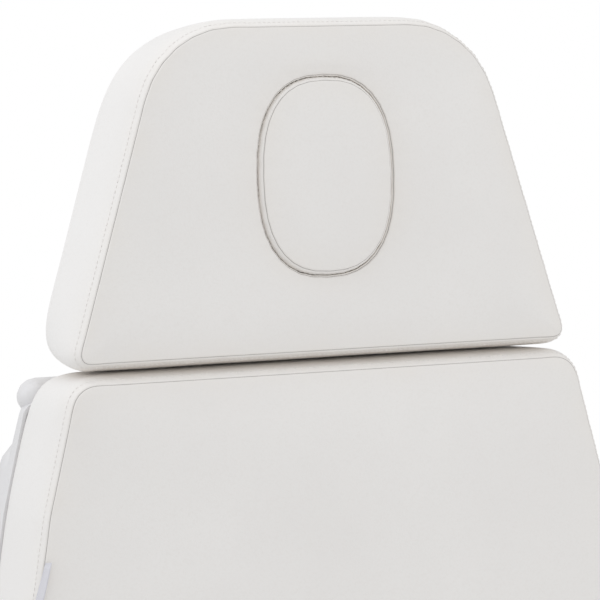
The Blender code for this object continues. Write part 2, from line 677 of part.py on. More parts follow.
def build_back_shell(rim, top):
    """The moulded cover behind the backrest: a deep pan, a shallow top and two rolled grips."""
    bottom = 0.180
    shallow_top = top - 0.030
    deep_top = top - 0.058

    def row(inset, z, y_top, corner):
        side = back_side(inset, bottom, y_top, corner, 6, 4)
        return [(x, y, z) for x, y in side] + [(-x, y, z) for x, y in reversed(side)]

    rows = [row(0.006, rim - GAP, shallow_top, 0.008), row(0.007, rim - 0.012, shallow_top, 0.008),
            row(0.009, rim - 0.016, deep_top, 0.030), row(0.009, rim - 0.040, deep_top - 0.003, 0.030),
            row(0.014, rim - 0.052, deep_top - 0.012, 0.030),
            row(0.040, rim - 0.060, deep_top - 0.040, 0.030)]
    pan = shell_of(loft(rows, closed=False, panel=True), 0.0035, 1)
    grips = []
    for side in (1, -1):
        radius = 0.0175
        centre = (top - 0.0225, rim - 0.0005 - radius)
        length = 0.125
        profile = [(radius * sin(a), length + radius * cos(a)) for a in
                   [pi / 2 * i / 4 for i in range(5)]]
        profile += [(radius * cos(a), -radius * sin(a)) for a in
                    [pi / 2 * i / 4 for i in range(5)]]
        profile[0] = (0, length + radius)
        profile[-1] = (0, -radius)
        start = 0.125 if side > 0 else -0.125 - length
        grips.append(turned(profile, "x", (start, *centre), 16))
    notch = [box((side * POST_X - 0.013, deep_top - 0.07, HEAD_PIVOT[1] - 0.013),
                 (side * POST_X + 0.013, deep_top + 0.020, HEAD_PIVOT[1] + 0.0105))
             for side in (1, -1)]
    knob_hole = cylinder(0.0055, (POST_X, 0.570, rim - 0.08), 0.05, "z", 16)
    add("backrest_shell", cut(union(pan, *grips), *notch, knob_hole), SHELL_PLASTIC, backrest)

    knob = make_empty("lock_knob_axis", backrest, (POST_X, 0.570, 0))
    back_face = rim - 0.0655
    sleeve_face = HEAD_PIVOT[1] - 0.0120
    profile = [(0, sleeve_face - GAP), (0.004, sleeve_face - GAP), (0.004, back_face),
               (0.013, back_face), (0.019, back_face - 0.004), (0.019, back_face - 0.012),
               (0.015, back_face - 0.016), (0, back_face - 0.016)]
    lobes = [cylinder(0.006, (0.0215 * cos(a), 0.0215 * sin(a), back_face - 0.03), 0.04, "z", 10)
             for a in [2 * pi * i / 6 for i in range(6)]]
    add("headrest_lock_knob", cut(turned(profile), *lobes), DARK_PLASTIC, knob)


# Headrest -----------------------------------------------------------------------------------
def build_headrest():
    pivot_y, pivot_z = HEAD_PIVOT
    face = SEAT_TOP - BACK_PIVOT[1]
    posts = [box((side * POST_X - POST_HALF, 0.440, pivot_z - POST_HALF),
                 (side * POST_X + POST_HALF, pivot_y - 0.020, pivot_z + POST_HALF))
             for side in (1, -1)]
    bridge = box((-POST_X, pivot_y - 0.035, pivot_z - POST_HALF + 0.0005),
                 (POST_X, pivot_y - 0.0205, pivot_z + POST_HALF - 0.0005))
    ears = side_plates([strip(HEAD_PIVOT, (pivot_y - 0.030, pivot_z), 0.0075),
                        hole(HEAD_PIVOT, 0.0053)], (0.058, 0.064))
    add("headrest_carrier", union(posts[0], posts[1], bridge, *ears), BRIGHT_STEEL, head_slide)

    top = face - pivot_z - HEAD_SET_BACK
    opening = oval(PLUG_HALF[0] + PLUG_CLEARANCE, PLUG_HALF[1] + PLUG_CLEARANCE, PLUG_CENTRE)
    board_opening = oval(PLUG_HALF[0] + 0.006, PLUG_HALF[1] + 0.006, PLUG_CENTRE)
    padded_section("headrest", [head_outline(), opening],
                   [head_outline(BOARD_INSET), board_opening], top, headrest)
    under = top - CUSHION - BOARD
    bracket_plate = box((-0.090, 0.008, under - 0.0050), (0.090, 0.052, under - GAP))
    lugs = side_plates([strip((0, 0), (0.020, under - 0.003), 0.0075), hole((0, 0), 0.0053)],
                       (0.050, 0.056))
    add("headrest_bracket", union(bracket_plate, *lugs), POWDER_COAT, headrest)
    add("headrest_hinge_pin", cylinder(0.005, (-0.070, pivot_y, pivot_z), 0.140, "x", 16),
        BRIGHT_STEEL, head_slide)
    plug_mesh = bevelled(plate([oval(*PLUG_HALF, PLUG_CENTRE)], top - 0.080, top + 0.002), 0.006, 2,
                         60)
    add("face_plug", plug_mesh, VINYL, face_plug)


# Legrest ------------------------------------------------------------------------------------
def build_legrest():
    face = SEAT_TOP - LEG_PIVOT[1]
    padded_section("legrest", [leg_outline()], [leg_outline(BOARD_INSET)], face, legrest)
    half = TUBE / 2
    thin = 0.0005
    end = LEG_START - LEG_LENGTH + 0.055
    tubes = [box((side * 0.232 - half, end, -half), (side * 0.232 + half, 0.010, half - GAP))
             for side in (1, -1)]
    cross = [box((-0.240, y - half + thin, -half + thin), (0.240, y + half - thin, half - GAP - thin))
             for y in (-0.062, end + 0.040)]
    holes = [cylinder(PIN_RADIUS + 0.0003, (side * 0.232 - 0.02, 0, 0), 0.04, "x", 16)
             for side in (1, -1)]
    weld = [(-0.074, -half + 0.004), (-0.050, -half + 0.004)]
    levers = cheeks(lever(LEG_DRIVE, weld), DRIVE_X)
    frame = union(tubes[0], tubes[1], *cross, *levers)
    add("legrest_frame", cut(frame, *holes), POWDER_COAT, legrest)


# Hand control -------------------------------------------------------------------------------
def build_hand_control():
    """A wired hand control in its holder, with three pairs of push buttons."""
    centre_y, bottom, top = -0.110, 0.432, 0.580
    front = CONTROL_X + 0.022
    body = bevelled(box((CONTROL_X, centre_y - 0.027, bottom), (front, centre_y + 0.027, top)),
                    0.006, 2)
    names = ("height", "backrest", "legrest")
    spots = [(names[row] + suffix, centre_y + side * 0.011, top - 0.030 - row * 0.026)
             for row in range(3) for side, suffix in ((-1, "_down"), (1, "_up"))]
    pockets = [cylinder(0.0078, (front - 0.004, y, z), 0.01, "x", 16) for _, y, z in spots]
    add("hand_control", cut(body, *pockets), LIGHT_PLASTIC, lift)
    button = turned([(0, 0.0065), (0.0055, 0.0062), (0.0070, 0.0050), (0.0070, 0.0021),
                     (0, 0.0021)], "x", segments=12)
    for name, y, z in spots:
        carrier = make_empty("button_axis_" + name, lift, (front - 0.004, y, z))
        add("button_" + name, button.copy(), DARK_PLASTIC, carrier)

    curve = bpy.data.curves.new("cable", "CURVE")
    curve.dimensions = "3D"
    curve.bevel_depth = 0.0028
    curve.bevel_resolution = 1
    curve.use_fill_caps = True
    spline = curve.splines.new("POLY")
    start, end = (CONTROL_X + 0.011, centre_y, bottom - 0.0014), (0.0886, -0.150, 0.470)
    steps = 18
    spline.points.add(steps)
    for i, point in enumerate(spline.points):
        t = i / steps
        ease = t * t * (3 - 2 * t)
        sag = -0.080 * 4 * t * (1 - t)
        point.co = (start[0] + (end[0] - start[0]) * ease, start[1] + (end[1] - start[1]) * t,
                    start[2] + (end[2] - start[2]) * t + sag, 1)
    cable = bpy.data.objects.new("hand_control_cable", curve)
    bed.objects.link(cable)
    cable.parent = lift
    curve.materials.append(make_material("hand_control_cable", DARK_PLASTIC))


# Assembly -----------------------------------------------------------------------------------
clear_scene()
bed = bpy.data.collections.new("facial_treatment_bed")
cutters = bpy.data.collections.new("cutters")
for collection in (bed, cutters):
    bpy.context.scene.collection.children.link(collection)

root = make_empty("bed_origin", None, (0, ORIGIN_SHIFT_Y, 0))
lift = make_empty("column_lift", root)
shroud_middle = make_empty("shroud_middle_lift", root)
backrest = make_empty("backrest_hinge", lift, (0, *BACK_PIVOT), BACK_REST)
legrest = make_empty("legrest_hinge", lift, (0, *LEG_PIVOT), LEG_REST)
head_slide = make_empty("headrest_slide", backrest)
headrest = make_empty("headrest_hinge", head_slide, (0, *HEAD_PIVOT))
face_plug = make_empty("face_plug_slide", headrest)

build_base()
build_power_inlet()
build_seat()
build_armrest(-1, "left")
build_armrest(1, "right")
build_actuator("back", BACK_DRIVE, -DRIVE_X, BACK_PIVOT, -1, 0.335, 0.290, 0.052)
build_actuator("leg", LEG_DRIVE, DRIVE_X, LEG_PIVOT, 1, 0.272, 0.190, 0.180)
build_backrest()
build_headrest()
build_legrest()
build_hand_control()
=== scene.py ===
"""Looks of the facial treatment bed: upholstery, seams, stitching, finishes, light and camera.

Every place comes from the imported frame. A padded section is built lying flat, in the frame of its
hinge, and is then turned into its place.
"""
import json
from math import ceil, cos, exp, radians, sin, tau

import bmesh
import bpy
import numpy as np
from mathutils import Matrix, Vector, kdtree, noise

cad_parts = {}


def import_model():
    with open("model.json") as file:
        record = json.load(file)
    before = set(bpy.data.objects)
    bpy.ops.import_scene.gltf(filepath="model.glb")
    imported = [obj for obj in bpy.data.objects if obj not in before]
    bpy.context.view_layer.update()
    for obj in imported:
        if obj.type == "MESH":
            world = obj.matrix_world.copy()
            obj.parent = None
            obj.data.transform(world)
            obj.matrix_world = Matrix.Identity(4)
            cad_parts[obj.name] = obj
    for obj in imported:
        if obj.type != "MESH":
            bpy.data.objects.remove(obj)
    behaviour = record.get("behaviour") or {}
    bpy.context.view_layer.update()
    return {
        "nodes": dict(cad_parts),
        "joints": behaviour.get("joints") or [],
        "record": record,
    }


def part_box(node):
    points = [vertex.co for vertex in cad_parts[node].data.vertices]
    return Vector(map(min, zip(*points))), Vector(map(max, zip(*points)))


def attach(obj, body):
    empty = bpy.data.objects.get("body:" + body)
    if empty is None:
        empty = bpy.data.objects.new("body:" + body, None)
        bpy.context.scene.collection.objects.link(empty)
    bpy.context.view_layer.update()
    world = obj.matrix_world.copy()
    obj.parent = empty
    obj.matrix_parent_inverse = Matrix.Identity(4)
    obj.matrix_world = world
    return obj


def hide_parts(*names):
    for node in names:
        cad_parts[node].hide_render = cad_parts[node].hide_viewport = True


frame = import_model()
joints = {joint["name"]: joint for joint in frame["joints"]}

# Seams, in metres: two rows of points either side of the cord, lifted a little, and how deep the
# cord lies. The stitching runs on the side, and the face is free from FACE_START inwards.
SEAM_STEPS = (0.0007, 0.0015)
SEAM_LIFT = 0.0002
SEAM_SUNK = 0.00084
# The cord is a dark strip in each seam's groove: painted shade of the seam line.
CORD_RADIUS = 0.00055
STITCH_DEPTH = 0.0062
STITCH_LENGTH = 0.0034
STITCH_PITCH = 0.0050
STITCH_RADIUS = 0.00030
FACE_START = 0.0034

# Sides: (inset, rise) of the rows that round the lower edge, up to UNDER_ROUND, the spacing of the
# rows up to the shoulder, how early these reach their full width, the rows of the shoulder as
# shares of its way down from the stitching, and the row between stitching and seam as a share of
# the stitching's depth
UNDER_ROWS = ((0.0040, 0.0), (0.0022, 0.0004), (0.0012, 0.0013))
UNDER_ROUND = 0.003
SIDE_ROW = 0.010
SIDE_FULLNESS = 1.5
SHOULDER_ROWS = (0.75, 0.50)
UPPER_ROW = 0.62

# The face plug fills its opening to a hair, and stands a little proud of the face. The opening's
# wall runs from LIP_DEPTH under the seam to LIP_RISE above the underside, where it flares.
PLUG_SWELL = 0.0010
OPENING_SWELL = 0.0008
PLUG_PROUD = 0.0020
LIP_RISE = 0.010
LIP_FLARE = 0.004
LIP_DEPTH = 0.004

# Cloth simulation
CLOTH_FRAMES = 20
CLOTH_PRESSURE = 4.0

# How far the cable's end at the control box is above its end at the hand control
CABLE_RISE = 0.040

# Rounding of the carried-over solids' edges
EDGE_BEVEL = 0.0007
BEVEL_ANGLE = radians(38)

# Camera: place from the headrest's lower front seam, (yaw, pitch, roll) in degrees, lens in mm
CAMERA_OFFSET = (-1.5104, -2.955, 0.3774)
CAMERA_TURN = (26.6, -5.685, -0.22)
CAMERA_LENS = 216.4


# Frames of the sections ----------------------------------------------------------------------
def hinge_frame(joint_name, angle):
    return Matrix.Translation(joints[joint_name]["pos_m"]) @ Matrix.Rotation(angle, 4, "X")


BACK_ANGLE = radians(joints["backrest_recline"]["range_deg"][1])
LEG_ANGLE = radians(joints["legrest_raise"]["range_deg"][1])
FLAT = Matrix.Identity(4)
BACK = hinge_frame("backrest_recline", BACK_ANGLE)
HEAD = hinge_frame("headrest_tilt", BACK_ANGLE)
LEG = hinge_frame("legrest_raise", LEG_ANGLE)


# Outlines taken from the frame's solids ------------------------------------------------------
def flat_mesh(node, place):
    bm = bmesh.new()
    bm.from_mesh(frame["nodes"][node].data)
    bmesh.ops.transform(bm, matrix=place.inverted(), verts=bm.verts)
    bmesh.ops.remove_doubles(bm, verts=bm.verts, dist=1e-5)
    return bm


def chain(edges):
    """Closed loops of points from a set of edges."""
    links = {}
    for a, b in edges:
        links.setdefault(a, []).append(b)
        links.setdefault(b, []).append(a)
    loops = []
    while links:
        start = next(iter(links))
        loop, here = [start], links[start][0]
        previous = start
        while here != start:
            loop.append(here)
            onward = [p for p in links[here] if p != previous]
            previous, here = here, onward[0]
        for p in loop:
            del links[p]
        loops.append(loop)
    return loops


def section_outlines(node, place):
    """A solid's outlines at mid-height, longest first, and its lowest and highest z."""
    bm = flat_mesh(node, place)
    heights = [v.co.z for v in bm.verts]
    low, high = min(heights), max(heights)
    cut = bmesh.ops.bisect_plane(bm, geom=bm.verts[:] + bm.edges[:] + bm.faces[:],
                                 plane_co=(0, 0, (low + high) / 2), plane_no=(0, 0, 1))
    edges = [e for e in cut["geom_cut"] if isinstance(e, bmesh.types.BMEdge)]
    key = {v: (round(v.co.x, 6), round(v.co.y, 6)) for e in edges for v in e.verts}
    loops = chain([(key[e.verts[0]], key[e.verts[1]]) for e in edges])
    bm.free()
    loops.sort(key=loop_length, reverse=True)
    return [smooth_loop(np.array(loop)) for loop in loops], low, high


def loop_length(loop):
    points = np.array(loop)
    return np.linalg.norm(np.roll(points, -1, 0) - points, axis=1).sum()


def smooth_loop(points, step=0.018, fine=8):
    """A counter-clockwise spline through an outline's corners, so that its arcs are round."""
    x, y = points.T
    if np.sum(x * np.roll(y, -1) - y * np.roll(x, -1)) < 0:
        points = points[::-1]
    split = []
    for a, b in zip(points, np.roll(points, -1, 0)):
        count = max(1, ceil(np.linalg.norm(b - a) / step))
        split += [a + (b - a) * i / count for i in range(count)]
    p1 = np.array(split)
    keep = np.linalg.norm(p1 - np.roll(p1, 1, 0), axis=1) > 1e-4
    p1 = p1[keep]
    p0, p2, p3 = np.roll(p1, 1, 0), np.roll(p1, -1, 0), np.roll(p1, -2, 0)
    d1 = np.linalg.norm(p1 - p0, axis=1)[:, None]
    d2 = np.linalg.norm(p2 - p1, axis=1)[:, None]
    d3 = np.linalg.norm(p3 - p2, axis=1)[:, None]
    m1 = d2 * ((p1 - p0) / d1 - (p2 - p0) / (d1 + d2) + (p2 - p1) / d2)
    m2 = d2 * ((p2 - p1) / d2 - (p3 - p1) / (d2 + d3) + (p3 - p2) / d3)
    rows = []
    for i in range(fine):
        t = i / fine
        rows.append(p1 * (2 * t**3 - 3 * t**2 + 1) + m1 * (t**3 - 2 * t**2 + t)
                    + p2 * (3 * t**2 - 2 * t**3) + m2 * (t**3 - t**2))
    return np.stack(rows, 1).reshape(-1, 2)


def evenly(points, count, closed=True):
    """Points resampled at even spacing; an open line keeps its start and leaves out its end."""
    line = np.vstack([points, points[:1]]) if closed else points
    along = np.concatenate([[0], np.cumsum(np.linalg.norm(np.diff(line, axis=0), axis=1))])
    at = np.arange(count) / count * along[-1]
    return np.stack([np.interp(at, along, line[:, k]) for k in (0, 1)], 1)


def from_bottom(loop):
    """The loop turned to start where it crosses x = 0 at the bottom."""
    low = loop[:, 1] < (loop[:, 1].min() + loop[:, 1].max()) / 2
    start = np.argmin(np.where(low, np.abs(loop[:, 0]), 1e9))
    return np.roll(loop, -start, 0)


def four_sides(loop, spacing):
    """The loop from its lower left corner, with its side counts (across, up)."""
    centre = (loop.min(0) + loop.max(0)) / 2
    half = (loop.max(0) - loop.min(0)) / 2
    corners = [np.argmax(((loop - centre) / half) @ np.array(d))
               for d in ((-1, -1), (1, -1), (1, 1), (-1, 1))]
    loop = np.roll(loop, -corners[0], 0)
    marks = [(c - corners[0]) % len(loop) for c in corners] + [len(loop)]
    sides = [np.vstack([loop, loop[:1]])[a:b + 1] for a, b in zip(marks, marks[1:])]
    across, up = (2 * round(half[k] / spacing) for k in (0, 1))
    counts = (across, up, across, up)
    return np.vstack([evenly(s, n, False) for s, n in zip(sides, counts)]), across, up


def softened(loop, reach):
    """The loop with its corners rounded off by a running average over a reach."""
    step = loop_length(loop) / len(loop)
    width = max(1, round(reach / step))
    weights = np.exp(-0.5 * (np.arange(-2 * width, 2 * width + 1) / width) ** 2)
    weights /= weights.sum()
    wrapped = np.vstack([loop[-2 * width:], loop, loop[:2 * width]])
    return np.stack([np.convolve(wrapped[:, k], weights, "valid") for k in (0, 1)], 1)


def outward(points):
    ahead = np.roll(points, -1, 0) - np.roll(points, 1, 0)
    normal = np.stack([ahead[:, 1], -ahead[:, 0]], 1)
    return normal / np.linalg.norm(normal, axis=1)[:, None]


def coons(edge, across, up):
    """A grid of points inside a four-sided outline."""
    bottom = edge[:across + 1]
    right = edge[across:across + up + 1]
    top = edge[across + up:2 * across + up + 1][::-1]
    left = np.vstack([edge[2 * across + up:], edge[:1]])[::-1]
    u = np.linspace(0, 1, across + 1)[None, :, None]
    v = np.linspace(0, 1, up + 1)[:, None, None]
    ruled = (1 - v) * bottom[None] + v * top[None] + (1 - u) * left[:, None] + u * right[:, None]
    corners = ((1 - u) * (1 - v) * bottom[0] + u * (1 - v) * bottom[-1]
               + (1 - u) * v * top[0] + u * v * top[-1])
    return ruled - corners


# Mesh building -------------------------------------------------------------------------------
class Sheet:
    """Rings of points joined into one closed skin."""

    def __init__(self):
        self.points, self.faces = [], []
        self.pinned, self.sides, self.front = set(), set(), set()

    def ring(self, points, z, pinned=False, side=False):
        first = len(self.points)
        self.points += [(x, y, z) for x, y in points]
        made = list(range(first, len(self.points)))
        if pinned:
            self.pinned.update(made)
        if side:
            self.sides.update(made)
        return made

    def join(self, lower, upper):
        count = len(lower)
        for i in range(count):
            j = (i + 1) % count
            self.faces.append((lower[i], lower[j], upper[j], upper[i]))

    def cap(self, edge, across, up, z, pinned, facing_up):
        """Fills a four-sided ring with a grid."""
        first = len(self.points)
        points = np.array([self.points[i][:2] for i in edge])
        grid = coons(points, across, up)
        index = -np.ones((up + 1, across + 1), int)
        index[0, :] = edge[:across + 1]
        index[:, -1] = edge[across:across + up + 1]
        index[-1, ::-1] = edge[across + up:2 * across + up + 1]
        index[::-1, 0] = edge[2 * across + up:] + edge[:1]
        for r in range(1, up):
            for c in range(1, across):
                index[r, c] = len(self.points)
                if pinned:
                    self.pinned.add(len(self.points))
                self.points.append((*grid[r, c], z))
        for r in range(up):
            for c in range(across):
                quad = (index[r, c], index[r, c + 1], index[r + 1, c + 1], index[r + 1, c])
                self.faces.append(quad if facing_up else quad[::-1])
        if facing_up:
            self.front.update(range(first, len(self.points)))

    def dip(self, seams, top, edge):
        """Lowers the face's points towards the seams they are sewn to."""
        tree = kdtree.KDTree(sum(len(seam) for seam in seams) * 4)
        for seam in seams:
            ring = np.array([self.points[i][:2] for i in seam])
            for x, y in evenly(ring, len(ring) * 4):
                tree.insert((x, y, 0), 0)
        tree.balance()
        for i in self.front:
            x, y, _ = self.points[i]
            left = max(0.0, 1 - tree.find((x, y, 0))[2] / edge.shoulder)
            self.points[i] = (x, y, top - edge.drop * left ** 3)

    def build(self, name):
        mesh = bpy.data.meshes.new(name)
        mesh.from_pydata([tuple(map(float, p)) for p in self.points], [],
                         [tuple(map(int, f)) for f in self.faces])
        mesh.update()
        obj = bpy.data.objects.new(name, mesh)
        bpy.context.scene.collection.objects.link(obj)
        return obj


class Edge:
    """The profile of a padded edge whose seam sits just inside the widest line of the side.

    inset is how far the seam lies inside the outline and drop how far below the face. shoulder is
    the depth over which the side swells out from the seam to its full width. rear_reach says how
    much the corners are drawn in towards the board, and rear_inset how much the left and right
    sides and the upper end are. slack keeps the left and right sides inside the outline before
    they swell, press lets the ends stand out towards the next cushion, and side_limit caps the
    swelling. direction is -1 round an opening.
    """

    def __init__(self, inset, drop, shoulder, rear_reach=0.001, rear_inset=(0, 0), slack=0.0,
                 press=0.0, side_limit=0.0015, direction=1):
        self.inset, self.drop, self.shoulder = inset, drop, shoulder
        self.rear_reach, self.rear_inset = rear_reach, rear_inset
        self.slack, self.press, self.side_limit = slack, press, side_limit
        self.direction = direction

    def side(self, outline, top, depth, lift=0.0):
        """A ring on the side, at a depth below the seam."""
        left = max(0.0, 1 - depth / self.shoulder)
        inset = self.inset * left ** 2 - lift
        return outline - outward(outline) * inset * self.direction, top - self.drop - depth

    def face(self, outline, top, reach, lift=0.0):
        """A ring on the face, at a distance in from the seam."""
        left = max(0.0, 1 - reach / self.shoulder)
        z = top - self.drop * left ** 3 + lift
        return outline - outward(outline) * (self.inset + reach) * self.direction, z

    def rings(self, outline, top):
        """Rings from the side over the seam to the face, and the seam's place among them."""
        rings = [self.side(outline, top, depth, SEAM_LIFT) for depth in SEAM_STEPS[::-1]]
        seam = (outline - outward(outline) * (self.inset + SEAM_SUNK) * self.direction,
                top - self.drop - SEAM_SUNK)
        rings.append(seam)
        rings += [self.face(outline, top, reach, SEAM_LIFT) for reach in SEAM_STEPS]
        return rings, len(SEAM_STEPS)


BOX_EDGE = Edge(0.0068, 0.0026, 0.018, rear_reach=0.021, rear_inset=(0.0030, 0.0),
                slack=0.0010, press=0.0008, side_limit=0.0013)
HEAD_EDGE = Edge(0.0068, 0.0026, 0.018, rear_reach=0.027, rear_inset=(0.0034, 0.0028),
                 slack=0.0010, press=0.0008, side_limit=0.0013)
ARM_EDGE = Edge(0.0040, 0.0014, 0.012, slack=0.0010)
PLUG_EDGE = Edge(0.0030, 0.0012, 0.006, side_limit=0.0002)
OPENING_EDGE = Edge(0.0014, 0.0010, 0.0048, direction=-1)


def positions(obj):
    co = np.empty(len(obj.data.vertices) * 3)
    obj.data.vertices.foreach_get("co", co)
    return co.reshape(-1, 3)


def set_positions(obj, points):
    obj.data.vertices.foreach_set("co", np.asarray(points, np.float32).ravel())
    obj.data.update()


def normals(obj):
    co = np.empty(len(obj.data.vertices) * 3)
    obj.data.vertex_normals.foreach_get("vector", co)
    return co.reshape(-1, 3)


def limits(sheet, limit, side_limit):
    """How far each point may move: less on a side than on a face."""
    allowed = np.full(len(sheet.points), limit)
    allowed[sorted(sheet.sides)] = side_limit
    return allowed


def inflate(obj, sheet, limit, side_limit):
    """Swells the free panels with cloth under pressure, and caps how far a point may move."""
    rest = positions(obj)
    scene = bpy.context.scene
    group = obj.vertex_groups.new(name="sewn")
    group.add(sorted(sheet.pinned), 1.0, "REPLACE")
    cloth = obj.modifiers.new("cloth", "CLOTH")
    settings = cloth.settings
    settings.quality = 5
    settings.mass = 0.3
    settings.tension_stiffness = settings.compression_stiffness = 12
    settings.shear_stiffness = 5
    settings.bending_stiffness = 0.6
    settings.use_pressure = True
    settings.uniform_pressure_force = CLOTH_PRESSURE
    settings.vertex_group_mass = group.name
    settings.effector_weights.gravity = 0
    cloth.collision_settings.use_collision = False
    cloth.point_cache.frame_start = 1
    cloth.point_cache.frame_end = CLOTH_FRAMES
    for step in range(1, CLOTH_FRAMES + 1):
        scene.frame_set(step)
    graph = bpy.context.evaluated_depsgraph_get()
    swollen = bpy.data.meshes.new_from_object(obj.evaluated_get(graph))
    moved = np.empty(len(rest) * 3)
    swollen.vertices.foreach_get("co", moved)
    obj.modifiers.clear()
    scene.frame_set(1)
    shift = moved.reshape(-1, 3) - rest
    size = np.linalg.norm(shift, axis=1)
    allowed = limits(sheet, limit, side_limit)
    soft = allowed * np.tanh(size / allowed) / np.maximum(size, 1e-9)
    set_positions(obj, rest + shift * soft[:, None])


def pucker(obj, seam_rings, seed, depth=0.00022, reach=0.010, spread=0.016):
    """Gathers the skin slightly beside its seams, and marks each point's nearness to a seam as a
    painted-shade mask.
    """
    points, facing = positions(obj), normals(obj)
    random = np.random.default_rng(seed)
    tree = kdtree.KDTree(sum(len(ring) for ring in seam_rings))
    wave = {}
    for ring in seam_rings:
        place = points[ring]
        along = np.concatenate([[0], np.cumsum(np.linalg.norm(np.diff(place, axis=0), axis=1))])
        total = along[-1] + np.linalg.norm(place[0] - place[-1])
        value = np.zeros(len(ring))
        for length in (0.013, 0.019, 0.031, 0.052):
            turns = max(1, round(total / length))
            start = random.uniform(0, tau)
            value += np.sin(along / total * turns * tau + start) * random.uniform(0.5, 1)
        for i, v in zip(ring, value):
            tree.insert(points[i], i)
            wave[i] = v
    tree.balance()
    seam_shade_mask = np.zeros(len(points))
    lift = np.zeros(len(points))
    for k, point in enumerate(points):
        _, i, distance = tree.find(point)
        seam_shade_mask[k] = exp(-(distance / spread) ** 1.3)
        rise = min(1, distance / 0.004)
        lift[k] = depth * wave[i] * rise * exp(-distance / reach)
        lift[k] += 0.0006 * noise.noise(Vector(point) * 9) * min(1, distance / 0.03)
    set_positions(obj, points + facing * lift[:, None])
    # The nearness is stored as the mask for the leather's painted shade beside the seams.
    attribute = obj.data.attributes.new("seam", "FLOAT", "POINT")
    attribute.data.foreach_set("value", seam_shade_mask.astype(np.float32))


def finish_skin(obj, place):
    obj.data.transform(place)
    obj.data.materials.clear()
    obj.data.materials.append(white_leather)
    obj.data.shade_smooth()
    subdivision = obj.modifiers.new("subdivision", "SUBSURF")
    subdivision.levels = subdivision.render_levels = 1


def thread(name, points, radius, material, body, closed=True, sides=1):
    """A thin cord along a line of points, as a mesh whose open ends are capped."""
    curve = bpy.data.curves.new(name, "CURVE")
    curve.dimensions = "3D"
    curve.bevel_depth = radius
    curve.bevel_resolution = sides
    curve.use_fill_caps = not closed
    spline = curve.splines.new("POLY")
    spline.points.add(len(points) - 1)
    for knot, point in zip(spline.points, points):
        knot.co = (*point, 1)
    spline.use_cyclic_u = closed
    line = bpy.data.objects.new(name + "_line", curve)
    bpy.context.scene.collection.objects.link(line)
    graph = bpy.context.evaluated_depsgraph_get()
    mesh = bpy.data.meshes.new_from_object(line.evaluated_get(graph))
    bpy.data.objects.remove(line)
    bm = bmesh.new()
    bm.from_mesh(mesh)
    bmesh.ops.remove_doubles(bm, verts=bm.verts, dist=radius * 0.05)
    bm.to_mesh(mesh)
    bm.free()
    mesh.materials.clear()
    mesh.materials.append(material)
    mesh.shade_smooth()
    return placed(name, mesh, body)


def placed(name, mesh, body):
    """A new piece that rides on a body."""
    obj = bpy.data.objects.new(name, mesh)
    bpy.context.scene.collection.objects.link(obj)
    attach(obj, body)
    return obj


def grain_of_thread():
    """The points and faces of one unit stitch, a small ball."""
    bm = bmesh.new()
    bmesh.ops.create_uvsphere(bm, u_segments=6, v_segments=4, radius=1)
    points = np.array([v.co for v in bm.verts])
    faces = [[v.index for v in face.verts] for face in bm.faces]
    bm.free()
    return points, faces


def stitches(name, line, facing, material, body):
    """Short rounded dashes of thread along a closed line, half sunk into the skin."""
    line, facing = np.vstack([line, line[:1]]), np.vstack([facing, facing[:1]])
    along = np.concatenate([[0], np.cumsum(np.linalg.norm(np.diff(line, axis=0), axis=1))])
    count = int(along[-1] // STITCH_PITCH)
    middle = (np.arange(count) + 0.5) / count * along[-1]

    def on_line(values, at):
        return np.stack([np.interp(at, along, values[:, k]) for k in range(3)], 1)

    unit, unit_faces = grain_of_thread()
    axis = on_line(line, middle + STITCH_LENGTH / 2) - on_line(line, middle - STITCH_LENGTH / 2)
    axis /= np.linalg.norm(axis, axis=1)[:, None]
    side = np.cross(axis, on_line(facing, middle))
    side /= np.linalg.norm(side, axis=1)[:, None]
    turn = np.stack([side * STITCH_RADIUS, np.cross(axis, side) * STITCH_RADIUS,
                     axis * STITCH_LENGTH / 2], 1)
    points = on_line(line, middle)[:, None, :] + unit @ turn
    faces = [[i + k * len(unit) for i in face] for k in range(count) for face in unit_faces]
    mesh = bpy.data.meshes.new(name)
    mesh.from_pydata(points.reshape(-1, 3).tolist(), [], faces)
    mesh.shade_smooth()
    mesh.materials.append(material)
    return placed(name, mesh, body)


# Materials -----------------------------------------------------------------------------------
class Nodes:
    """A short way to write a material's node tree."""

    def __init__(self, name):
        self.material = bpy.data.materials.new(name)
        self.material.use_nodes = True
        self.tree = self.material.node_tree
        self.shader = self.tree.nodes["Principled BSDF"]

    def add(self, kind, inputs=None, **settings):
        node = self.tree.nodes.new("ShaderNode" + kind)
        for key, value in settings.items():
            setattr(node, key, value)
        for key, value in (inputs or {}).items():
            self.put(value, node.inputs[key])
        return node

    def put(self, value, socket):
        if isinstance(value, bpy.types.NodeSocket):
            self.tree.links.new(value, socket)
        else:
            socket.default_value = value

    def set(self, **values):
        for key, value in values.items():
            self.put(value, self.shader.inputs[key.replace("_", " ")])

    def place(self):
        return self.add("TexCoord").outputs["Object"]

    def noise(self, scale, detail=3, rough=0.5, vector=None):
        return self.add("TexNoise", {"Vector": vector or self.place(), "Scale": scale,
                                     "Detail": detail, "Roughness": rough}).outputs["Fac"]

    def cells(self, scale, feature="F1", vector=None):
        return self.add("TexVoronoi", {"Vector": vector or self.place(), "Scale": scale},
                        feature=feature).outputs["Distance"]

    def remap(self, value, low, high, to_low, to_high):
        return self.add("MapRange", {"Value": value, "From Min": low, "From Max": high,
                                     "To Min": to_low, "To Max": to_high}).outputs["Result"]

    def math(self, operation, a, b):
        node = self.add("Math", operation=operation)
        self.put(a, node.inputs[0])
        self.put(b, node.inputs[1])
        return node.outputs[0]

    def mix(self, factor, a, b):
        node = self.add("Mix", data_type="RGBA")
        self.put(factor, node.inputs["Factor"])
        self.put((*a, 1) if isinstance(a, tuple) else a, node.inputs[6])
        self.put((*b, 1) if isinstance(b, tuple) else b, node.inputs[7])
        return node.outputs[2]

    def bump(self, height, strength, distance, under=None):
        node = self.add("Bump", {"Height": height, "Strength": strength, "Distance": distance})
        if under:
            self.put(under, node.inputs["Normal"])
        return node.outputs["Normal"]


